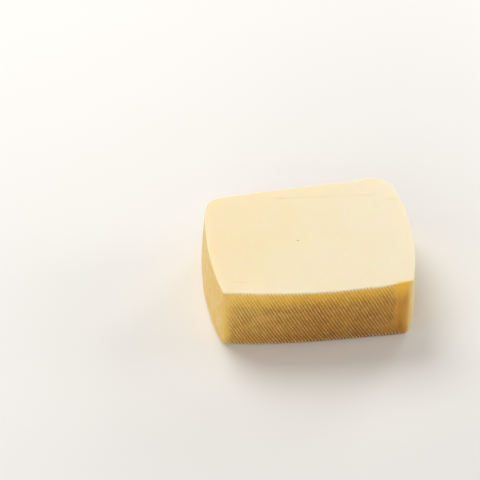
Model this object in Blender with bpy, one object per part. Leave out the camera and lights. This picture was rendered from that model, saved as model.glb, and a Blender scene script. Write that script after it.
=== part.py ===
# A block of coalho cheese, pressed in a ribbed mould and lying flat.
# Its outline is four bowed sides with rounded corners, lofted from the base to
# the top face with a low belly in between, and both rims are softened.
# Units are metres and +Z is up. The ribbed front face looks to -Y, and the
# origin is the middle of the underside.

import bpy
import bmesh
import math
from mathutils import Vector

HEIGHT = 0.0475

# Where neighbouring sides would meet if the corners were sharp, measured from
# the foot of the front left corner: front left, front right, back right, back left.
BASE_CORNERS = (
    Vector((-0.0003, -0.0009)),
    Vector((0.1239, 0.0004)),
    Vector((0.1238, 0.1072)),
    Vector((-0.0095, 0.0910)),
)
TOP_CORNERS = (
    Vector((0.0012, -0.0012)),
    Vector((0.1221, 0.0015)),
    Vector((0.1220, 0.1068)),
    Vector((-0.0065, 0.0900)),
)
BASE_CORNER_RADII = (0.0030, 0.0058, 0.0110, 0.0120)
TOP_CORNER_RADII = (0.0016, 0.0028, 0.0138, 0.0110)

# How far each side stands out from its chord: front, right, back, left. The
# lean moves the fullest place towards the start of the side.
BASE_BOWS = (0.0029, 0.0065, 0.0010, 0.0052)
TOP_BOWS = (0.0049, 0.0070, 0.0009, 0.0046)
BASE_LEANS = (0.55, 0.15, 0.0, -0.15)
TOP_LEANS = (0.0, 0.08, 0.0, -0.10)

# The belly is what each side adds to that at a third of the height.
BELLIES = (0.0004, 0.0009, 0.0006, 0.0006)

# A low swelling of the back side by the back right corner, in its upper part. It
# stops short at a share of the side, over a share as long as its rise.
BACK = 2
EAR_HEIGHT = 0.0013
EAR_END = 0.150
EAR_RISE = 0.012

BASE_RIM_RADIUS = 0.0020
TOP_RIM_RADIUS = 0.0010
TOP_DISH = 0.0005

SIDE_STEPS = (30, 26, 30, 24)
CORNER_STEPS = 6
WALL_STEPS = 9
BASE_RIM_STEPS = 4
TOP_RIM_STEPS = 3
TOP_RING_SCALES = (0.97, 0.90, 0.78, 0.60, 0.38, 0.18)

CHEESE_COLOUR = (0.86, 0.66, 0.31, 1.0)
CHEESE_ROUGHNESS = 0.55


def blend(low, high, share):
    return low + (high - low) * share


def belly_share(share):
    # rises from nothing at the base to 1 at a third of the height, then fades
    return 6.75 * share * (1.0 - share) ** 2


def corners_at(share):
    # the four sharp corners at a share of the height, with the belly added
    corners = [blend(low, high, share) for low, high in zip(BASE_CORNERS, TOP_CORNERS)]
    front, right, back, left = (belly * belly_share(share) for belly in BELLIES)
    corners[0] += Vector((-left, -front))
    corners[1] += Vector((right, -front))
    corners[2] += Vector((right, back))
    corners[3] += Vector((-left, back))
    return corners


def side_point(side, place, corners, share):
    # a point of one bowed side, place running from 0 at its start to 1 at its end
    start = corners[side]
    along = corners[(side + 1) % 4] - start
    outward = Vector((along.y, -along.x)).normalized()
    bow = blend(BASE_BOWS[side], TOP_BOWS[side], share)
    lean = blend(BASE_LEANS[side], TOP_LEANS[side], share)
    fullness = 4.0 * place * (1.0 - place) * (1.0 + lean * (1.0 - 2.0 * place))
    stand = bow * fullness
    if side == BACK:
        risen = min(1.0, max(0.0, (EAR_END - place) / EAR_RISE))
        stand += EAR_HEIGHT * share ** 3 * risen * place / EAR_END
    return start + along * place + outward * stand


def corner_points(before, before_direction, after, after_direction):
    # the round between two sides: a cubic whose handles suit a quarter circle
    handle = 0.5523 * (after - before).length / math.sqrt(2.0)
    first = before + before_direction * handle
    second = after - after_direction * handle
    points = []
    for step in range(1, CORNER_STEPS):
        t = step / CORNER_STEPS
        near = before * (1 - t) ** 3 + first * 3 * t * (1 - t) ** 2
        far = second * 3 * t * t * (1 - t) + after * t ** 3
        points.append(near + far)
    return points


def outline_at(share):
    # the closed outline at a share of the height, counter-clockwise from above
    corners = corners_at(share)
    radii = [blend(low, high, share) for low, high in zip(BASE_CORNER_RADII, TOP_CORNER_RADII)]
    lengths = [(corners[(side + 1) % 4] - corners[side]).length for side in range(4)]
    sides = []
    for side in range(4):
        first = radii[side] / lengths[side]
        last = 1.0 - radii[(side + 1) % 4] / lengths[side]
        places = [blend(first, last, step / SIDE_STEPS[side]) for step in range(SIDE_STEPS[side] + 1)]
        sides.append([side_point(side, place, corners, share) for place in places])
    outline = []
    for side, points in enumerate(sides):
        following = sides[(side + 1) % 4]
        leaving = (points[-1] - points[-2]).normalized()
        entering = (following[1] - following[0]).normalized()
        outline += points + corner_points(points[-1], leaving, following[0], entering)
    return outline


def drawn_in(outline, distance):
    # the outline moved inwards by a distance, square to itself
    moved = []
    for index, point in enumerate(outline):
        along = (outline[(index + 1) % len(outline)] - outline[index - 1]).normalized()
        moved.append(point + Vector((-along.y, along.x)) * distance)
    return moved


def ring_at(height, inset):
    outline = drawn_in(outline_at(height / HEIGHT), inset)
    return [Vector((point.x, point.y, height)) for point in outline]


def wall_rings():
    # the underside's softened rim, the wall, and the top face's softened rim
    rings = []
    for step in range(BASE_RIM_STEPS + 1):
        angle = math.radians(90.0) * step / BASE_RIM_STEPS
        height = BASE_RIM_RADIUS * (1.0 - math.cos(angle))
        rings.append(ring_at(height, BASE_RIM_RADIUS * (1.0 - math.sin(angle))))
    top_start = HEIGHT - TOP_RIM_RADIUS
    for step in range(1, WALL_STEPS):
        rings.append(ring_at(blend(BASE_RIM_RADIUS, top_start, step / WALL_STEPS), 0.0))
    for step in range(TOP_RIM_STEPS + 1):
        angle = math.radians(90.0) * step / TOP_RIM_STEPS
        height = top_start + TOP_RIM_RADIUS * math.sin(angle)
        rings.append(ring_at(height, TOP_RIM_RADIUS * (1.0 - math.cos(angle))))
    return rings


def top_rings(rim):
    # rings within the top face, which dips a little towards its middle
    centre = sum(rim, Vector((0.0, 0.0, 0.0))) / len(rim)
    rings = []
    for scale in TOP_RING_SCALES:
        dip = Vector((0.0, 0.0, TOP_DISH * (1.0 - scale * scale)))
        rings.append([centre + (point - centre) * scale - dip for point in rim])
    return rings


def middle_of_box(points):
    across = [point.x for point in points]
    deep = [point.y for point in points]
    return Vector(((min(across) + max(across)) / 2, (min(deep) + max(deep)) / 2, 0.0))


def ring_edges(mesh, ring):
    verts = [mesh.verts.new(point) for point in ring]
    return [mesh.edges.new((verts[index - 1], vert)) for index, vert in enumerate(verts)]


def cheese_mesh():
    rings = wall_rings()
    rings += top_rings(rings[-1])
    middle = middle_of_box([point for ring in rings for point in ring])
    mesh = bmesh.new()
    loops = [ring_edges(mesh, [point - middle for point in ring]) for ring in rings]
    for lower, upper in zip(loops, loops[1:]):
        bmesh.ops.bridge_loops(mesh, edges=lower + upper)
    bmesh.ops.holes_fill(mesh, edges=loops[0], sides=0)
    top = bmesh.ops.holes_fill(mesh, edges=loops[-1], sides=0)
    bmesh.ops.poke(mesh, faces=top["faces"])
    bmesh.ops.recalc_face_normals(mesh, faces=mesh.faces)
    return mesh


def cheese_material():
    material = bpy.data.materials.new("cheese")
    material.use_nodes = True
    shader = material.node_tree.nodes["Principled BSDF"]
    shader.inputs["Base Color"].default_value = CHEESE_COLOUR
    shader.inputs["Roughness"].default_value = CHEESE_ROUGHNESS
    shader.inputs["Metallic"].default_value = 0.0
    return material


def build_cheese_block():
    mesh = cheese_mesh()
    data = bpy.data.meshes.new("cheese_block")
    mesh.to_mesh(data)
    mesh.free()
    data.materials.append(cheese_material())
    data.shade_smooth()
    data.set_sharp_from_angle(angle=math.radians(50.0))
    block = bpy.data.objects.new("cheese_block", data)
    bpy.context.scene.collection.objects.link(block)
    return block


for old in list(bpy.data.objects):
    bpy.data.objects.remove(old, do_unlink=True)

build_cheese_block()
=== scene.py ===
import math

import bmesh
import bpy
import numpy as np
from mathutils import Euler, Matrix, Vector, noise


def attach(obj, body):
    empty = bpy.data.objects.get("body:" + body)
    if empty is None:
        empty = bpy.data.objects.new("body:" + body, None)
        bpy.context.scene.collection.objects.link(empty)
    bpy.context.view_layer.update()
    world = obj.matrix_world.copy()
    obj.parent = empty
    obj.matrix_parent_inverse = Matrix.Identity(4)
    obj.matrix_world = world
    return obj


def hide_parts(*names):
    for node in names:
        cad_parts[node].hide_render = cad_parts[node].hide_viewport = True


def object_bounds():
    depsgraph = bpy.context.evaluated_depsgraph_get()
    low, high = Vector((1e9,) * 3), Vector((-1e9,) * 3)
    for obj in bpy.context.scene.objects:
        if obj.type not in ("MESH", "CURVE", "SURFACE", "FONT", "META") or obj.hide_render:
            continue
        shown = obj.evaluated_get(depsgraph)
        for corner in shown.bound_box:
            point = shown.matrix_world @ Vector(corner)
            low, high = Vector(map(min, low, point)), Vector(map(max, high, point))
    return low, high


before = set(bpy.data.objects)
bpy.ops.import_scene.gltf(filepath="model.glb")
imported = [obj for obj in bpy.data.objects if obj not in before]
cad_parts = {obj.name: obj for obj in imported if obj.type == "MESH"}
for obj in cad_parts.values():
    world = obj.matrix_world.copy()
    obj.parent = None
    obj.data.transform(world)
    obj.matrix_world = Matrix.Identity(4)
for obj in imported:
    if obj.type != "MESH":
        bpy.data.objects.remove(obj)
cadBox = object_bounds()
print("frame loaded")


# the block's form, in metres, with plan points (x, y) from the foot of the front left corner
block = {
    "height": 0.0475,
    # where neighbouring sides would meet if sharp: front left, front right, back right, back left
    "baseCorners": [(-0.0003, -0.0009), (0.1239, 0.0004), (0.1238, 0.1072), (-0.0095, 0.0910)],
    "topCorners": [(0.0012, -0.0012), (0.1221, 0.0015), (0.1220, 0.1068), (-0.0065, 0.0900)],
    "baseRadii": [0.0030, 0.0058, 0.0110, 0.0120],
    "topRadii": [0.0016, 0.0028, 0.0138, 0.0110],
    # how far each side bows out, and towards which end: front, right, back, left
    "baseBows": [0.0029, 0.0065, 0.0010, 0.0052],
    "topBows": [0.0049, 0.0070, 0.0009, 0.0046],
    "baseLeans": [0.55, 0.15, 0.0, -0.15],
    "topLeans": [0.0, 0.08, 0.0, -0.10],
    "bellies": [0.0004, 0.0009, 0.0006, 0.0006],
    "bellyPeak": 6.75,      # makes the bulge whole at a third of the height
    # the swelling of the back's upper part by the right corner: it stops short at a share of the side
    "ear": {"height": 0.0013, "end": 0.150, "rise": 0.012},
    "baseRims": [0.0012, 0.0030, 0.0024, 0.0024],
    "topRims": [0.0006, 0.0012, 0.0008, 0.0018],
    "wraps": [0.0008, 0.0012, 0.0010, 0.0015],   # how far the pale paste of the cut comes down over each rim; on the rounded rims of the sides it partly stands in for a painted highlight
    "wrapFade": (0.4, 1.3),     # where it thins out and where it ends, in shares of that
    "teeth": 0.8,           # how much further it comes down on the ribs' crests than in the grooves
    "lap": {"span": (0.1050, 0.1085), "hold": 0.85},   # where the rind laps over the front rim instead
    "dish": 0.0005,         # how far the top sinks in its middle
    "unevenness": 0.00022,
    "unevenSize": 0.024,    # how far apart the walls' hollows lie, and those of the top
    "topUnevenSize": 0.021,
    "topUnevenShare": 0.6,
    "topEdgeHold": 60.0,    # how soon inside its rim the top may wave
    "pimples": 0.00010,     # small roughness of the smooth ends
    "pimpleSize": 0.0028,
    # how square to the front a wall stands where the mould's gold begins, and where it is whole
    "moulded": (0.80, 0.95),
    "leftRind": (-0.001, 0.007),      # the gold begins so far from the front's left end
    "rightRind": (0.0002, 0.0034),    # and so far from its right end
    "footWrap": {"reach": 0.0026, "height": 0.012},   # it goes further round the right corner at the foot
    "cells": (300, 84, 94),   # across, deep and high
    "rimCells": 5,
    "crowding": (0.10, 0.50),   # across and deep: 0 spaces the cells evenly, 1 crowds them into the corners
    "sideSteps": 160,           # steps along a bowed side before it is cut into cells
    "roundSteps": 20,           # and along each half of a round
    "roundHandle": 0.5523,      # draws a curve of four points as a quarter circle
}

# the mould's ribs on the front and the back, with places along the face from its left end
ribs = {
    "depth": 0.00060,
    "proud": 0.00020,            # how far a crest stands out past the face
    "crests": (447.0, 236.0),    # per metre along the face and up it, so that they fall to the right
    "crowd": 1.7,                # radians by which they draw closer together towards both ends
    "steepen": 24.0,             # more of them up the face at its right end
    "beads": (469.0, -234.0),    # the weaker weave that crosses them
    "beading": 0.28,
    "beadWander": 1.1,           # how far a bead strays, in radians of its own wave, and over what size
    "beadWanderSize": 0.0040,
    "wander": 0.45,              # the same for a crest, which strays over two sizes
    "wanderSizes": (0.016, 0.0036),
    "roundness": 0.5,            # 0 makes the crests sharp-grooved, 1 makes them waves
    "start": 0.0028,
    "startSpread": 0.0024,       # more at the foot
    "margin": 0.0115,            # the smooth strip at the right end
    "marginSpread": 0.0065,      # less at the very foot
    "fade": 0.0020,
    "footFade": 0.0014,          # more of it at the left end of the foot
    "endSharpness": 1.5,         # how far before their right end they begin to fade, in shares of fade
    "fray": 0.0024,              # how unevenly they end
    "fraySize": 0.0045,
    "strength": 0.86,            # how much of the depth there is on the whole
    "patches": (0.30, 0.009),    # how much the strength varies, and over what size
    "dots": (0.40, 0.0030),
    # worn places: where along the face and how high, how wide and high, how much of the ribs is gone
    "rubs": [
        ((0.0270, 0.0245), (0.0055, 0.0035), 0.45),
        ((0.0830, 0.0300), (0.0080, 0.0040), 0.20),
        ((0.1085, 0.0075), (0.0075, 0.0045), 0.95),
    ],
}

# each seed reads the noise at a place of its own, and a ribbed side also reads those up to 6 past its seed
seedStrides = (3.7, 1.3, 2.1)
frontSeed, backSeed, wallSeed, pimpleSeed, topSeed = 0.0, 5.0, 9.0, 11.0, 13.0

# the cut across the top near the back, where the knife changed its slope
cut = {"start": (0.040, 0.0878), "end": (0.112, 0.0877), "slope": 0.012, "softness": 0.0012}


def blend(low, high, share):
    return low + (high - low) * share


def smoothStep(low, high, value):
    share = np.clip((value - low) / (high - low), 0.0, 1.0)
    return share * share * (3.0 - 2.0 * share)


def unit(vector):
    return vector / np.hypot(*vector)


def cornersAt(share):   # the four sharp corners at a share of the height
    belly = block["bellyPeak"] * share * (1.0 - share) ** 2
    front, right, back, left = (size * belly for size in block["bellies"])
    push = np.array([(-left, -front), (right, -front), (right, back), (-left, back)])
    return blend(np.array(block["baseCorners"]), np.array(block["topCorners"]), share) + push


def sideAt(side, places, corners, share):   # points along one bowed side
    along = corners[(side + 1) % 4] - corners[side]
    outward = unit(np.array((along[1], -along[0])))
    bow = blend(block["baseBows"][side], block["topBows"][side], share)
    lean = blend(block["baseLeans"][side], block["topLeans"][side], share)
    stand = bow * 4.0 * places * (1.0 - places) * (1.0 + lean * (1.0 - 2.0 * places))
    if side == 2:
        ear = block["ear"]
        risen = smoothStep(0.0, ear["rise"], ear["end"] - places) * places / ear["end"]
        stand = stand + ear["height"] * share ** 3 * risen
    return corners[side] + np.outer(places, along) + np.outer(stand, outward)


def cornerRound(run, following):   # the round from one side to the next, as its two halves
    before, after = run[-1], following[0]
    handle = block["roundHandle"] * np.hypot(*(after - before)) / math.sqrt(2.0)
    first = before + unit(before - run[-2]) * handle
    second = after - unit(following[1] - after) * handle
    steps = block["roundSteps"]
    t = np.linspace(0.0, 1.0, 2 * steps + 1)[:, None]
    near = before * (1 - t) ** 3 + first * 3 * t * (1 - t) ** 2
    curve = near + second * 3 * t * t * (1 - t) + after * t ** 3
    return curve[:steps + 1], curve[steps:]


def sidesAt(share):   # four runs of points, each from the middle of one corner to the middle of the next
    corners = cornersAt(share)
    radii = [blend(low, high, share) for low, high in zip(block["baseRadii"], block["topRadii"])]
    runs = []
    for side in range(4):
        length = np.hypot(*(corners[(side + 1) % 4] - corners[side]))
        first, last = radii[side] / length, 1.0 - radii[(side + 1) % 4] / length
        places = np.linspace(first, last, block["sideSteps"] + 1)
        runs.append(sideAt(side, places, corners, share))
    rounds = [cornerRound(runs[side], runs[(side + 1) % 4]) for side in range(4)]
    return [np.vstack([rounds[side - 1][1], runs[side][1:-1], rounds[side][0]]) for side in range(4)]


def cellPlaces(axis):   # shares along a side, closer together towards both corners
    even = np.linspace(0.0, 1.0, block["cells"][axis] + 1)
    return blend(even, 0.5 - 0.5 * np.cos(math.pi * even), block["crowding"][axis])


def ringAt(share):   # one ring of the wall: plan points, outward directions and distances along the side
    points, distances = [], []
    for run, axis in zip(sidesAt(share), (0, 1, 0, 1)):
        reached = np.concatenate([[0.0], np.cumsum(np.hypot(*np.diff(run, axis=0).T))])
        wanted = cellPlaces(axis)[:-1] * reached[-1]
        points.append(np.column_stack([np.interp(wanted, reached, run[:, part]) for part in (0, 1)]))
        distances.append(wanted)
    points = np.vstack(points)
    along = np.roll(points, -1, axis=0) - np.roll(points, 1, axis=0)
    outward = np.column_stack([along[:, 1], -along[:, 0]]) / np.hypot(*along.T)[:, None]
    return points, outward, np.concatenate(distances)


def roughness(points, size, seed):   # smooth unevenness from -1 to 1, with hollows about size apart
    shift = Vector([seed * stride for stride in seedStrides])
    return np.array([noise.noise(Vector(point) / size + shift) for point in points])


def ribProfile(along, height, length, points, seed):   # height from 0 in a groove to 1, and how ribbed
    broadSize, closeSize = ribs["wanderSizes"]
    stray = ribs["wander"] * (roughness(points, broadSize, seed) + roughness(points, closeSize, seed + 6.0))
    rise = ribs["crests"][1] + ribs["steepen"] * along / length
    crest = 2.0 * math.pi * (ribs["crests"][0] * along + rise * height) + stray
    crest = crest + ribs["crowd"] * (2.0 * along / length - 1.0) ** 3
    bead = 2.0 * math.pi * (ribs["beads"][0] * along + ribs["beads"][1] * height) - stray
    bead = bead + ribs["beadWander"] * roughness(points, ribs["beadWanderSize"], seed + 3.0)
    sharp, wavy = np.abs(np.cos(crest / 2.0)), 0.5 + 0.5 * np.cos(crest)
    ridge = (1.0 - ribs["roundness"]) * sharp + ribs["roundness"] * wavy
    beaded = ridge * (1.0 - ribs["beading"] * (0.5 - 0.5 * np.cos(bead)))
    drop = (1.0 - height / block["height"]) ** 2
    fray = ribs["fray"] * roughness(points, ribs["fraySize"], seed + 4.0)
    first = ribs["start"] + ribs["startSpread"] * drop + fray
    last = length - ribs["margin"] + ribs["marginSpread"] * drop ** 4 + fray
    soft = ribs["fade"] + ribs["footFade"] * drop
    strength = smoothStep(first - soft, first + soft, along)
    ending = smoothStep(last - ribs["endSharpness"] * ribs["fade"], last + ribs["fade"], along)
    strength = strength * (1.0 - ending)
    patchy, patchSize = ribs["patches"]
    dotty, dotSize = ribs["dots"]
    strength = strength * (ribs["strength"] + patchy * roughness(points, patchSize, seed + 1.0))
    strength = strength * (1.0 + dotty * roughness(points, dotSize, seed + 2.0))
    if seed == frontSeed:
        for (place, level), (wide, high), amount in ribs["rubs"]:
            spot = np.exp(-(((along - place) / wide) ** 2) - ((height - level) / high) ** 2)
            strength = strength * (1.0 - amount * spot)
    return 1.0 - strength * (1.0 - beaded), strength


def topDrop(points):   # how far the top lies below full height behind the cut
    start, end = np.array(cut["start"]), np.array(cut["end"])
    along = unit(end - start)
    behind = (points - start) @ np.array((-along[1], along[0]))
    soft = cut["softness"]
    return cut["slope"] * soft * np.logaddexp(0.0, behind / soft)


def eased(values, reach=7):   # values round the block, smoothed so that no side starts with a step
    ring = np.concatenate([values[-reach:], values, values[:reach]])
    return np.convolve(ring, np.ones(2 * reach + 1), "valid") / (2 * reach + 1)


def mouldedShare(sides, along, height, outward):   # how much of the wall has the mould's gold skin
    square = smoothStep(*block["moulded"], np.abs(outward[:, 1]))
    fromRight = along[sides == 0].max() - along
    wrapRound = block["footWrap"]["reach"] * (1.0 - smoothStep(0.0, block["footWrap"]["height"], height))
    fromLeft = smoothStep(*block["leftRind"], along)
    ends = fromLeft * smoothStep(*block["rightRind"], fromRight + wrapRound)
    return square * np.where(sides == 0, ends, 1.0)


def cutReach(sides, along, wrap, ribHeight, ribbed):   # how far down the cut's paste reaches
    lap = block["lap"]
    lapped = np.where(sides == 0, smoothStep(*lap["span"], along), 0.0)
    teeth = np.clip(ribbed * (2.0 * ribHeight - 1.0), -1.0, 1.0)
    return wrap * (1.0 - lap["hold"] * lapped) * (1.0 + block["teeth"] * teeth)


def wallRings():   # the places and looks of every ring from the underside to the top
    across, deep, high = block["cells"]
    rim = block["rimCells"]
    sides = np.repeat([0, 1, 2, 3], [across, deep, across, deep])
    names = ("topRims", "baseRims", "wraps")
    topRim, baseRim, wrap = (eased(np.array(block[name])[sides]) for name in names)
    places = np.zeros((high + 1, len(sides), 3))
    looks = np.zeros((high + 1, len(sides), 4))   # rib height, ribbed share, moulded share, cut share
    for level in range(high + 1):
        baseTurn = math.pi / 2 * min(1.0, level / rim)
        topTurn = math.pi / 2 * max(0.0, (level - high + rim) / rim)
        climb = min(1.0, max(0.0, (level - rim) / (high - 2 * rim)))
        foot = baseRim * (1.0 - math.cos(baseTurn))
        share = blend(foot.mean(), block["height"], climb) / block["height"]
        points, outward, along = ringAt(share)
        full = block["height"] - topDrop(points)
        height = blend(foot, full - topRim, climb) + topRim * math.sin(topTurn)
        inset = baseRim * (1.0 - math.sin(baseTurn)) + topRim * (1.0 - math.cos(topTurn))
        solid = np.column_stack([points, height])
        ribHeight, ribbed = np.ones(len(sides)), np.zeros(len(sides))
        for side, seed in ((0, frontSeed), (2, backSeed)):
            on = sides == side
            ribHeight[on], ribbed[on] = ribProfile(along[on], height[on], along[on].max(), solid[on], seed)
        relief = ribs["depth"] * (ribHeight - 1.0) + ribs["proud"] * ribbed
        relief = relief + block["unevenness"] * roughness(solid, block["unevenSize"], wallSeed)
        pimply = roughness(solid, block["pimpleSize"], pimpleSeed)
        relief = relief + block["pimples"] * (1.0 - ribbed) * pimply
        places[level, :, :2] = points + outward * (relief - inset)[:, None]
        places[level, :, 2] = height
        looks[level, :, 0] = ribHeight
        looks[level, :, 1] = ribbed
        looks[level, :, 2] = mouldedShare(sides, along, height, outward)
        reach = cutReach(sides, along, wrap, ribHeight, ribbed)
        looks[level, :, 3] = 1.0 - smoothStep(*block["wrapFade"], (full - height) / reach)
    return places, looks


def topCap(rim):   # a grid over the top face, spanned between the four runs of its rim
    across, deep, _ = block["cells"]
    front = rim[:across + 1, :2]
    right = rim[across:across + deep + 1, :2]
    back = rim[across + deep:2 * across + deep + 1, :2][::-1]
    left = np.vstack([rim[2 * across + deep:], rim[:1]])[::-1, :2]
    u = cellPlaces(0)[:, None, None]
    v = cellPlaces(1)[None, :, None]
    spanned = front[:, None] * (1 - v) + back[:, None] * v + left[None] * (1 - u) + right[None] * u
    frontCorners = front[0] * (1 - u) * (1 - v) + front[-1] * u * (1 - v)
    atCorners = frontCorners + back[0] * (1 - u) * v + back[-1] * u * v
    plan = (spanned - atCorners).reshape(-1, 2)
    # 16 makes the product of the four shares 1 in the middle
    dish = (block["dish"] * 16.0 * u * (1 - u) * v * (1 - v)).reshape(-1)
    edge = np.minimum(1.0, block["topEdgeHold"] * (u * (1 - u) * v * (1 - v)).reshape(-1))
    solid = np.column_stack([plan, np.zeros(len(plan))])
    waves = block["unevenness"] * edge * roughness(solid, block["topUnevenSize"], topSeed)
    height = block["height"] - topDrop(plan) - dish + waves * block["topUnevenShare"]
    return np.column_stack([plan, height]).reshape(across + 1, deep + 1, 3)


def boxOfCells():   # a cube cut into cells on all six sides, with one plain face below
    bm = bmesh.new()
    bmesh.ops.create_cube(bm, size=1.0)
    for axis, count in enumerate(block["cells"]):
        running = [edge for edge in bm.edges if abs((edge.verts[0].co - edge.verts[1].co)[axis]) > 0.5]
        bmesh.ops.subdivide_edges(bm, edges=running, cuts=count - 1)
    under = [face for face in bm.faces if face.calc_center_median().z < -0.4999]
    bmesh.ops.dissolve_faces(bm, faces=under, use_verts=True)
    mesh = bpy.data.meshes.new("cheeseBlock")
    bm.to_mesh(mesh)
    bm.free()
    return mesh


def shapeCheese():
    mesh = boxOfCells()
    across, deep, high = block["cells"]
    corners = np.zeros(len(mesh.vertices) * 3, np.float32)
    mesh.vertices.foreach_get("co", corners)
    i, j, k = np.rint((corners.reshape(-1, 3) + 0.5) * block["cells"]).astype(int).T
    turns = [(j == 0) & (i < across), (i == across) & (j < deep), (j == deep) & (i > 0), i == 0]
    rounds = [i, across + j, 2 * across + deep - i, 2 * across + 2 * deep - j]
    turn = np.select(turns, rounds, -1) % (2 * across + 2 * deep)
    wall, looks = wallRings()
    cap = topCap(wall[-1])
    onWall = np.any(turns, axis=0)
    places = np.where(onWall[:, None], wall[k, turn], cap[i, j])
    shown = np.where(onWall[:, None], looks[k, turn], np.array((1.0, 0.0, 0.0, 1.0)))
    lowest, highest = wall.reshape(-1, 3).min(0), wall.reshape(-1, 3).max(0)
    middle = (cadBox[0] + cadBox[1]) / 2
    places[:, :2] += np.array(middle[:2]) - (lowest[:2] + highest[:2]) / 2
    mesh.vertices.foreach_set("co", places.astype(np.float32).ravel())
    for column, name in enumerate(("ribHeight", "ribbed", "moulded", "cutFace")):
        layer = mesh.attributes.new(name, "FLOAT", "POINT")
        layer.data.foreach_set("value", shown[:, column].astype(np.float32))
    mesh.shade_smooth()
    mesh.update()
    cheese = bpy.data.objects.new("cheeseBlock", mesh)
    bpy.context.scene.collection.objects.link(cheese)
    print("cheese shaped:", len(mesh.vertices), "points")
    return cheese, np.array(middle[:2]) - (lowest[:2] + highest[:2]) / 2


class Wire:   # a socket of a material's tree that takes part in sums
    def __init__(self, tree, socket):
        self.tree = tree
        self.socket = socket

    def node(self, kind, settings=None, sockets=None, output=0):   # any node, its settings set first
        made = self.tree.nodes.new(kind)
        for name, value in (settings or {}).items():
            setattr(made, name, value)
        for name, value in (sockets or {}).items():
            if isinstance(value, Wire):
                self.tree.links.new(value.socket, made.inputs[name])
            else:
                made.inputs[name].default_value = value
        return Wire(self.tree, made.outputs[output])

    def maths(self, operation, *values):
        return self.node("ShaderNodeMath", {"operation": operation}, dict(enumerate(values)))

    def __add__(self, other):
        return self.maths("ADD", self, other)

    __radd__ = __add__

    def __sub__(self, other):
        return self.maths("SUBTRACT", self, other)

    def __rsub__(self, other):
        return self.maths("SUBTRACT", other, self)

    def __mul__(self, other):
        return self.maths("MULTIPLY", self, other)

    __rmul__ = __mul__

    def step(self, low, high):   # 0 below low, 1 above high, eased between
        span = {"Value": self, 1: low, 2: high, 3: 0.0, 4: 1.0}
        return self.node("ShaderNodeMapRange", {"interpolation_type": "SMOOTHSTEP"}, span)

    def tint(self, other, amount):   # this colour mixed with another
        return self.node("ShaderNodeMix", {"data_type": "RGBA"}, {0: amount, 6: self, 7: other}, 2)

    def times(self, other, amount=1.0):   # this colour multiplied by another
        settings = {"data_type": "RGBA", "blend_type": "MULTIPLY"}
        return self.node("ShaderNodeMix", settings, {0: amount, 6: self, 7: other}, 2)


# colours are linear red, green, blue
cheeseFinish = {
    "paste": (0.96, 0.84, 0.63, 1.0),          # the cut top
    "paintedRimHighlightColour": (1.0, 0.90, 0.76, 1.0),        # a painted highlight along its rounded rims
    "warmPaste": (0.92, 0.74, 0.42, 1.0),
    "rind": (0.84, 0.56, 0.120, 1.0),          # the smooth ends
    "rindGrain": (0.80, 0.74, 0.58, 1.0),      # what their darker flecks keep of it
    "gold": (0.78, 0.41, 0.050, 1.0),          # the ribbed sides
    "brightGold": (0.98, 0.60, 0.05, 1.0),     # the ribbed sides by their upper rim: a painted glow of light shining through from the top; also the rind lapped over the cut's front edge
    "lemonGold": (1.0, 0.68, 0.13, 1.0),       # the left part of that painted glow
    "deepGold": (0.58, 0.250, 0.022, 1.0),     # the ribbed sides by their foot and right end: painted shade there; its random patches and the smears on smooth parts are the rind's own tone
    "paleGold": (0.90, 0.58, 0.13, 1.0),       # the left part of the ribbed front, painted lighter as if lit from the left; also a painted highlight on the round of the front's right corner
    # painted highlights along the ribs' crests
    "crest": (1.0, 0.85, 0.50, 1.0),
    "tip": (1.0, 0.86, 0.62, 1.0),             # a painted reflection on the ends of the crests at the foot
    "groove": (0.56, 0.44, 0.22, 1.0),         # what the grooves keep of the colour: painted shade in them
    "olive": (0.88, 0.62, 0.10, 1.0),          # the smooth strip at the left end
    "footShade": (0.68, 0.65, 0.48, 1.0),      # what the foot of the ribbed sides keeps of its colour under painted shade; the smudge uses it too
    "grain": (0.74, 0.69, 0.60, 1.0),          # what the dark grains among the ribs keep of it
    "speck": (0.30, 0.19, 0.08, 1.0),
    "tick": (0.93, 0.79, 0.30, 1.0),           # the short yellow line at the right edge of the top
    "topRoughness": 0.50,
    "sideRoughness": 0.42,
    "roughnessMottle": 0.10,
    "subsurface": 0.6,
    "subsurfaceReach": (1.0, 0.55, 0.18),
    "subsurfaceScale": 0.0070,
    "ior": 1.42,
}

# where a look begins and where it is whole, in metres from the middle of the underside
spans = {
    "backHalf": (-0.001, 0.001),        # along y
    "pale": (-0.075, 0.055),            # along x, where the top goes from warm to pale: the warm left is painted shadow and warm reflection from the neighbouring block, with some of the paste's own warmer tone
    "paleLean": 0.2,                    # how much of y that takes with it
    "inward": (-0.056, -0.036),         # along y
    "palerRind": (0.050, 0.066),        # the rest of these are along x
    "rightward": (-0.050, 0.010),
    "rightEnd": (0.005, 0.045),
    "farRight": (0.0570, 0.0625),
    "pastLeftEnd": (-0.0565, -0.0525),
    "ribsBegun": (-0.0560, -0.0460),
    "edgeEnd": (0.044, 0.052),          # where the pale upper edge stops
    # where the painted rim highlight stops along the front
    "paintedRimHighlightEnd": (0.046, 0.050),
    "aboveFoot": (0.002, 0.036),        # and these up z
    "aboveLow": (0.0, 0.014),
    "aboveTips": (0.0010, 0.0050),
    "leftEndPaste": (0.018, 0.048),
    "upper": (block["height"] - 0.017, block["height"] - 0.002),
    "edge": (block["height"] - 0.0040, block["height"] - 0.0005),
}

# noise: about how far apart its patches are, its detail, and how rough that is
clouds = {
    "broad": (0.045, 2.0, 0.5),
    "mottle": (0.0075, 3.0, 0.5),
    "fine": (0.0011, 3.0, 0.6),
    "patch": (0.011, 2.0, 0.5),
    "fleck": (0.0014, 3.0, 0.6),
    "smear": (0.0020, 1.0, 0.5),
    "dot": (0.0008, 2.0, 0.5),
    "swell": (0.0035, 2.0, 0.5),
    "pit": (0.0022, 1.0, 0.5),
}
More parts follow.
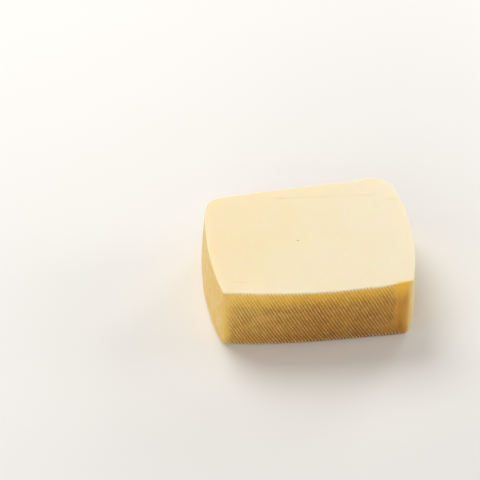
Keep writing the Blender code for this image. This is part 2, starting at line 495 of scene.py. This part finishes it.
# the values of a noise between which its look goes from none to whole
thresholds = {
    "broad": (0.35, 0.65),
    "mottle": (0.30, 0.70),
    "fleck": (0.38, 0.66),
    "smear": (0.40, 0.62),
    "dot": (0.40, 0.62),
    "pit": (0.70, 0.78),
    "darkStreak": (0.62, 0.34),
    "lightStreak": (0.46, 0.66),
    "crest": (0.62, 1.0),   # of the ribs' height
}
ribSlant = (0.884, 0.467)          # the cosine and sine of the ribs' slant on the front
ribGrainStretch = 0.35
fleckStretch = (1.0, 1.0, 0.45)    # less than 1 draws a pattern out along z
smearStretch = (1.0, 1.0, 0.1)

# how much of each look there is: "base", and more or less of it with what the other words name
amounts = {
    "warmTop": {"inward": 0.5, "leftShadowWarmth": 0.58, "broad": 0.16, "mottle": 0.05},
    "rind": {"base": 0.86, "mottle": 0.14, "palerRind": 0.32, "fleck": 0.38},
    "backward": 0.6,               # how rightward the back counts as
    "paleGold": 0.75,
    "deepGold": {"foot": 0.47, "footRightward": 0.10, "rightward": 0.34, "patch": 0.26, "smear": 0.5},
    "brightGold": 0.92,
    "lemonGold": 0.8,
    "olive": 0.9,
    "leftEndPaste": 0.50,
    "sideMottle": 0.08,
    "footShade": {"base": 0.14, "rightward": 0.30, "rightEnd": 0.35, "leftEnd": 0.60},
    "begun": 0.5,                  # what there is of the ribs' shade before they have begun
    "grooveUpper": 0.70,
    "grain": {"base": 0.36, "upper": 0.22},
    "crest": {"base": 0.20, "rightward": 0.03, "streaks": 0.55},
    "tip": 0.95,
    "farRight": {"base": 0.60, "low": 0.20},
    "edge": {"base": 0.30, "leftEnd": 0.3},
    # how strong the painted rim highlight is
    "paintedRimHighlight": 1.6,
}

# short lines on the top: from and to in the block's own plan, how wide, the colour, how much of it
strokes = {
    "knife": (cut["start"], cut["end"], 0.0009, "rind", 0.16),
    "scratch": ((0.0035, 0.0083), (0.0190, 0.0072), 0.0006, "rind", 0.36),
    "drag": ((0.0395, 0.0884), (0.0500, 0.0880), 0.0012, "rind", 0.20),
    "tick": ((0.1145, 0.0830), (0.1275, 0.0819), 0.0010, "tick", 0.90),
    # the gleam is a painted highlight: paler paste over a low raised line
    "gleam": ((0.0840, 0.0906), (0.0940, 0.0901), 0.0012, "paste", 0.8),
    "ridge": ((0.0300, 0.0062), (0.0530, 0.0052), 0.0009, "paste", 0.6),
    "lap": ((0.1090, 0.0006), (0.1230, 0.0020), 0.0016, "brightGold", 0.70),   # rind over the cut's edge
}
strokeEnd = 0.004   # the length over which a line fades out at its ends

# small dark spots: squash weighs the first axis in the distance squared, and reach is such a distance too
speckMark = {"place": (0.0526, 0.0447), "squash": 0.25, "reach": 3.2e-7, "amount": 0.75}
smudgeMark = {"place": (0.0563, 0.0100), "squash": 9.0, "reach": 2.6e-5, "amount": 0.55}

# heights of the finest relief, in metres
fineRelief = {
    "fine": 3.0e-5,
    "swell": 4.0e-5,
    "knife": -1.2e-4,
    "raised": 1.0e-4,       # the gleam and the ridge
    "scratched": 8.0e-5,    # the scratch and the drag
    "pits": -8.0e-5,
}


class CheeseLooks:   # the sockets that the cheese's colours and relief are worked out from
    def __init__(self, tree, shift):
        self.shift = shift
        self.at = at = Wire(tree, None).node("ShaderNodeTexCoord", output="Object")
        parts = at.node("ShaderNodeSeparateXYZ", sockets={0: at})
        self.x, self.y, self.z = (Wire(tree, parts.socket.node.outputs[axis]) for axis in range(3))
        self.ribHeight, self.ribbed, self.moulded, self.cutFace = (
            at.node("ShaderNodeAttribute", {"attribute_name": name}, output="Fac")
            for name in ("ribHeight", "ribbed", "moulded", "cutFace")
        )
        self.paste = at.node("ShaderNodeRGB")
        self.paste.socket.default_value = cheeseFinish["paste"]
        self.mottle = self.cloud("mottle").step(*thresholds["mottle"])
        self.front = 1.0 - self.y.step(*spans["backHalf"])

    def cloud(self, name, place=None):
        size, detail, shape = clouds[name]
        sockets = {"Vector": place or self.at, "Scale": 1.0 / size, "Detail": detail, "Roughness": shape}
        return self.at.node("ShaderNodeTexNoise", {}, sockets)

    def stretched(self, amount):
        return self.at.node("ShaderNodeVectorMath", {"operation": "MULTIPLY"}, {0: self.at, 1: amount})

    def streaks(self):   # grain drawn out along the ribs
        facing = 1.0 - self.y.step(*spans["backHalf"]) * 2.0   # 1 on the front and -1 on the back
        cosine, sine = ribSlant
        across = self.x * facing * cosine + self.z * sine
        falling = self.x * facing * sine - self.z * cosine
        sockets = {0: across, 1: self.y, 2: falling * ribGrainStretch}
        return self.cloud("fine", self.at.node("ShaderNodeCombineXYZ", sockets=sockets))

    def spot(self, mark, first, second, shift=(0.0, 0.0)):   # 1 in its middle
        a, b = first - (mark["place"][0] + shift[0]), second - (mark["place"][1] + shift[1])
        return 1.0 - (a * a * mark["squash"] + b * b).step(0.0, mark["reach"])

    def stroke(self, name):   # a soft line on the top face, 1 along its middle
        start, end, width = strokes[name][:3]
        a, b = Vector(start) + Vector(self.shift), Vector(end) + Vector(self.shift)
        along, length = (b - a).normalized(), (b - a).length
        run = (self.x - a.x) * along.x + (self.y - a.y) * along.y
        off = (self.x - a.x) * -along.y + (self.y - a.y) * along.x
        ends = run.step(0.0, strokeEnd) * (1.0 - run.step(length - strokeEnd, length))
        return (1.0 - off.maths("ABSOLUTE", off).step(0.0, width)) * ends * self.cutFace

    def topColour(self):
        amount = amounts["warmTop"]
        # the warm left of the top is painted shadow and warm reflection from the neighbouring block, with
        # some of the paste's own warmer tone; broad and mottle are random tone
        leftShadowWarmth = 1.0 - (self.x - self.y * spans["paleLean"]).step(*spans["pale"])
        inward = self.y.step(*spans["inward"]) * amount["inward"] + (1.0 - amount["inward"])
        broad = self.cloud("broad").step(*thresholds["broad"])
        warm = leftShadowWarmth * inward * amount["leftShadowWarmth"] + broad * amount["broad"]
        return self.paste.tint(cheeseFinish["warmPaste"], warm + self.mottle * amount["mottle"])

    def rindColour(self):
        amount = amounts["rind"]
        paler = self.x.step(*spans["palerRind"]) * amount["palerRind"]
        rind = self.paste.tint(cheeseFinish["rind"], self.mottle * amount["mottle"] + amount["base"] - paler)
        flecks = self.cloud("fleck", self.stretched(fleckStretch)).step(*thresholds["fleck"])
        return rind.times(cheeseFinish["rindGrain"], flecks * amount["fleck"])

    def goldColour(self):   # the mould's gold skin, from its ground to the grooves and crests of the ribs, with painted shade and painted highlights
        finish = cheeseFinish
        front, smooth, ribbed = self.front, 1.0 - self.ribbed, self.ribbed
        foot = 1.0 - self.z.step(*spans["aboveFoot"])
        low = 1.0 - self.z.step(*spans["aboveLow"])
        upper = self.z.step(*spans["upper"])
        # rightward steers painted light and shade: the front lighter at its left end and darker towards its
        # right
        rightward = self.x.step(*spans["rightward"]) * front + (1.0 - front) * amounts["backward"]
        rightEnd = self.x.step(*spans["rightEnd"]) * front
        leftEnd = front * (1.0 - self.x.step(*spans["pastLeftEnd"]))
        begun = self.x.step(*spans["ribsBegun"]) * amounts["begun"] + (1.0 - amounts["begun"])

        gold = self.paste.tint(finish["gold"], 1.0)
        # painted light: the front paler towards its left end
        gold = gold.tint(finish["paleGold"], (1.0 - rightward) * amounts["paleGold"])
        deep = amounts["deepGold"]
        # painted shade: the ribbed sides darker towards the foot and towards the front's right end; the
        # patch noise is the rind's own random tone
        deepening = foot * (deep["foot"] + rightward * deep["footRightward"]) + rightward * deep["rightward"]
        gold = gold.tint(finish["deepGold"], deepening + (self.cloud("patch") - 0.5) * deep["patch"])
        # painted light: the ribbed sides glow golden along their upper band, as if lit through from the top,
        # paler towards the left
        gold = gold.tint(finish["brightGold"], upper * amounts["brightGold"])
        gold = gold.tint(finish["lemonGold"], upper * (1.0 - rightward) * amounts["lemonGold"])
        gold = gold.tint(finish["olive"], leftEnd * (amounts["olive"] - ribbed * amounts["olive"]))
        leftPaste = leftEnd * smooth * self.z.step(*spans["leftEndPaste"])
        gold = gold.tint(finish["warmPaste"], leftPaste * amounts["leftEndPaste"])
        smear = self.cloud("smear", self.stretched(smearStretch)).step(*thresholds["smear"])
        gold = gold.tint(finish["deepGold"], smooth * rightward * (smear - upper) * deep["smear"])
        gold = gold.tint(finish["rind"], self.mottle * amounts["sideMottle"])
        # painted shade: the ribbed sides darker along their foot, more towards the right and at the left end
        shade = amounts["footShade"]
        shading = shade["base"] + rightward * shade["rightward"] + rightEnd * shade["rightEnd"]
        gold = gold.times(finish["footShade"], low * (shading + leftEnd * shade["leftEnd"]))

        # painted shade in the grooves, less of it by the upper rim
        inGroove = (1.0 - self.ribHeight) * begun * (1.0 - upper * amounts["grooveUpper"])
        gold = gold.times(finish["groove"], inGroove)
        streaks = self.streaks()
        grains = streaks.step(*thresholds["darkStreak"]) + self.cloud("dot").step(*thresholds["dot"])
        grains = grains * ribbed * begun
        dark = amounts["grain"]
        gold = gold.times(finish["grain"], grains * (dark["base"] - upper * dark["upper"]))
        # painted highlights along the crests, broken up by the streaks
        crest = self.ribHeight.step(*thresholds["crest"]) * ribbed
        light = amounts["crest"]
        lighting = light["base"] - rightward * light["rightward"]
        lighting = lighting + streaks.step(*thresholds["lightStreak"]) * light["streaks"]
        gold = gold.tint(finish["crest"], crest * lighting)
        # painted reflection: the crests' ends at the foot lit pale from below
        gold = gold.tint(finish["tip"], crest * (1.0 - self.z.step(*spans["aboveTips"])) * amounts["tip"])
        # painted highlight: the round of the front's right corner paler, less of it at the foot
        right = amounts["farRight"]
        farRight = self.x.step(*spans["farRight"]) * front * (right["base"] - low * right["low"])
        gold = gold.tint(finish["paleGold"], farRight)
        smudge = self.spot(smudgeMark, self.x, self.z)
        gold = gold.times(finish["footShade"], smudge * front * smudgeMark["amount"])
        edge = self.z.step(*spans["edge"]) * (1.0 - self.x.step(*spans["edgeEnd"]))
        edging = amounts["edge"]["base"] + leftEnd * amounts["edge"]["leftEnd"]
        return gold.tint(finish["warmPaste"], edge * edging)

    def wholeColour(self, lines):
        finish = cheeseFinish
        side = self.rindColour().tint(self.goldColour(), self.moulded)
        colour = side.tint(self.topColour(), self.cutFace)
        paintedRimHighlight = self.cutFace * (1.0 - self.cutFace) * amounts["paintedRimHighlight"]   # a painted highlight along the rounded rims
        paintedRimHighlight = paintedRimHighlight * (1.0 - self.front * self.x.step(*spans["paintedRimHighlightEnd"]))
        colour = colour.tint(finish["paintedRimHighlightColour"], paintedRimHighlight)
        speck = self.spot(speckMark, self.x, self.y, self.shift) * self.cutFace
        colour = colour.tint(finish["speck"], speck * speckMark["amount"])
        for names in (("knife", "scratch", "drag"), ("tick",), ("gleam", "ridge"), ("lap",)):
            parts = [lines[name] * strokes[name][4] for name in names]
            colour = colour.tint(finish[strokes[names[0]][3]], sum(parts[1:], parts[0]))
        return colour

    def height(self, lines):
        grain = self.cloud("fine") * fineRelief["fine"] + self.cloud("swell") * fineRelief["swell"]
        raised = (lines["gleam"] + lines["ridge"]) * fineRelief["raised"]
        scratched = (lines["scratch"] + lines["drag"]) * fineRelief["scratched"]
        pits = self.cloud("pit").step(*thresholds["pit"]) * (1.0 - self.cutFace) * fineRelief["pits"]
        return grain + (lines["knife"] * fineRelief["knife"] + raised - scratched) + pits


def cheeseMaterial(shift):
    material = bpy.data.materials.new("coalhoCheese")
    material.use_nodes = True
    tree = material.node_tree
    shader = tree.nodes["Principled BSDF"]
    finish = cheeseFinish
    looks = CheeseLooks(tree, shift)
    lines = {name: looks.stroke(name) for name in strokes}
    colour = looks.wholeColour(lines)
    sockets = {"Strength": 1.0, "Distance": 1.0, "Height": looks.height(lines)}
    bump = looks.at.node("ShaderNodeBump", {}, sockets, "Normal")
    rough = looks.cutFace * (finish["topRoughness"] - finish["sideRoughness"]) + finish["sideRoughness"]
    rough = rough + (looks.mottle - 0.5) * finish["roughnessMottle"]
    for wire, name in ((colour, "Base Color"), (rough, "Roughness"), (bump, "Normal")):
        tree.links.new(wire.socket, shader.inputs[name])
    shader.inputs["Subsurface Weight"].default_value = finish["subsurface"]
    shader.inputs["Subsurface Radius"].default_value = finish["subsurfaceReach"]
    shader.inputs["Subsurface Scale"].default_value = finish["subsurfaceScale"]
    shader.inputs["IOR"].default_value = finish["ior"]
    print("cheese material made")
    return material


studio = {
    "floorColour": (0.88, 0.87, 0.85, 1.0),
    "floorSize": 24.0,
    "floorDrop": 0.00005,   # keeps it from flickering through the underside
    "floorRoughness": 0.6,
    "floorMottle": ((0.97, 0.97, 0.97, 1.0), 3.0),   # what its darker parts keep, and how many to a metre
    "farGlow": 0.55,        # keeps the floor pale beyond the reach of the lights
    "farFrom": (0.6, 1.9),
    "skyColour": (1.0, 0.99, 0.97, 1.0),
    "skyStrength": 0.28,
    "aim": (0.0, 0.0, 0.02),
    # name: place, size, watts, colour
    "lights": {
        "key": ((-0.45, 0.75, 1.10), 0.9, 11.8, (1.0, 0.98, 0.95)),
        "fill": ((-1.10, -0.35, 0.70), 0.9, 2.6, (1.0, 0.97, 0.93)),
        "front": ((-0.60, -1.30, 0.60), 1.0, 5.2, (1.0, 0.97, 0.93)),
        "edge": ((0.75, 0.95, 0.40), 0.5, 3.5, (1.0, 0.98, 0.95)),
        "right": ((1.25, 0.05, 0.45), 0.5, 4.5, (1.0, 0.98, 0.95)),
    },
}

# the camera looks down across the block from the front
viewpoint = {
    "place": (-0.02107, -0.51279, 0.55620),   # in the block's own plan
    "heading": 3.634,   # degrees from +Y towards +X
    "down": 42.2,
    "lens": 86.25,
    "sensor": 36.0,
    "sees": (0.01, 60.0),   # from and to how far away
}


def floorMaterial():
    material = bpy.data.materials.new("paleFloor")
    material.use_nodes = True
    tree = material.node_tree
    shader = tree.nodes["Principled BSDF"]
    at = Wire(tree, None).node("ShaderNodeTexCoord", output="Object")
    darker, often = studio["floorMottle"]
    cloud = at.node("ShaderNodeTexNoise", {}, {"Vector": at, "Scale": often})
    base = at.node("ShaderNodeRGB")
    base.socket.default_value = studio["floorColour"]
    away = at.node("ShaderNodeVectorMath", {"operation": "LENGTH"}, {0: at}, "Value")
    glow = base.times((0.0, 0.0, 0.0, 1.0), 1.0 - away.step(*studio["farFrom"]))
    tree.links.new(base.times(darker, cloud).socket, shader.inputs["Base Color"])
    tree.links.new(glow.socket, shader.inputs["Emission Color"])
    shader.inputs["Emission Strength"].default_value = studio["farGlow"]
    shader.inputs["Roughness"].default_value = studio["floorRoughness"]
    return material


def makeFloor():
    bm = bmesh.new()
    bmesh.ops.create_grid(bm, x_segments=1, y_segments=1, size=studio["floorSize"] / 2)
    bmesh.ops.translate(bm, verts=bm.verts, vec=(0.0, 0.0, -studio["floorDrop"]))
    mesh = bpy.data.meshes.new("floor")
    bm.to_mesh(mesh)
    bm.free()
    mesh.materials.append(floorMaterial())
    floor = bpy.data.objects.new("floor", mesh)
    bpy.context.scene.collection.objects.link(floor)


def makeLights():
    aim = Vector(studio["aim"])
    for name, (place, size, watts, colour) in studio["lights"].items():
        light = bpy.data.lights.new(name, "AREA")
        light.shape = "DISK"
        light.size = size
        light.energy = watts
        light.color = colour
        lamp = bpy.data.objects.new(name, light)
        lamp.location = place
        lamp.rotation_euler = (aim - Vector(place)).to_track_quat("-Z", "Y").to_euler()
        bpy.context.scene.collection.objects.link(lamp)
    world = bpy.data.worlds.new("studioSky")
    world.use_nodes = True
    background = world.node_tree.nodes["Background"]
    background.inputs["Color"].default_value = studio["skyColour"]
    background.inputs["Strength"].default_value = studio["skyStrength"]
    bpy.context.scene.world = world
    bpy.context.scene.view_settings.view_transform = "Standard"


def makeCamera(shift):
    lens = bpy.data.cameras.new("camera")
    lens.lens = viewpoint["lens"]
    lens.sensor_width = viewpoint["sensor"]
    lens.clip_start, lens.clip_end = viewpoint["sees"]
    camera = bpy.data.objects.new("camera", lens)
    camera.location = Vector(viewpoint["place"]) + Vector((shift[0], shift[1], 0.0))
    turn = Euler((math.radians(90.0 - viewpoint["down"]), 0.0, -math.radians(viewpoint["heading"])))
    camera.rotation_euler = turn
    bpy.context.scene.collection.objects.link(camera)
    bpy.context.scene.camera = camera


cheese, shift = shapeCheese()
cheese.data.materials.append(cheeseMaterial(shift))
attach(cheese, "root")
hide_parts("cheese_block")

makeFloor()
makeLights()
makeCamera(shift)
print("studio made")
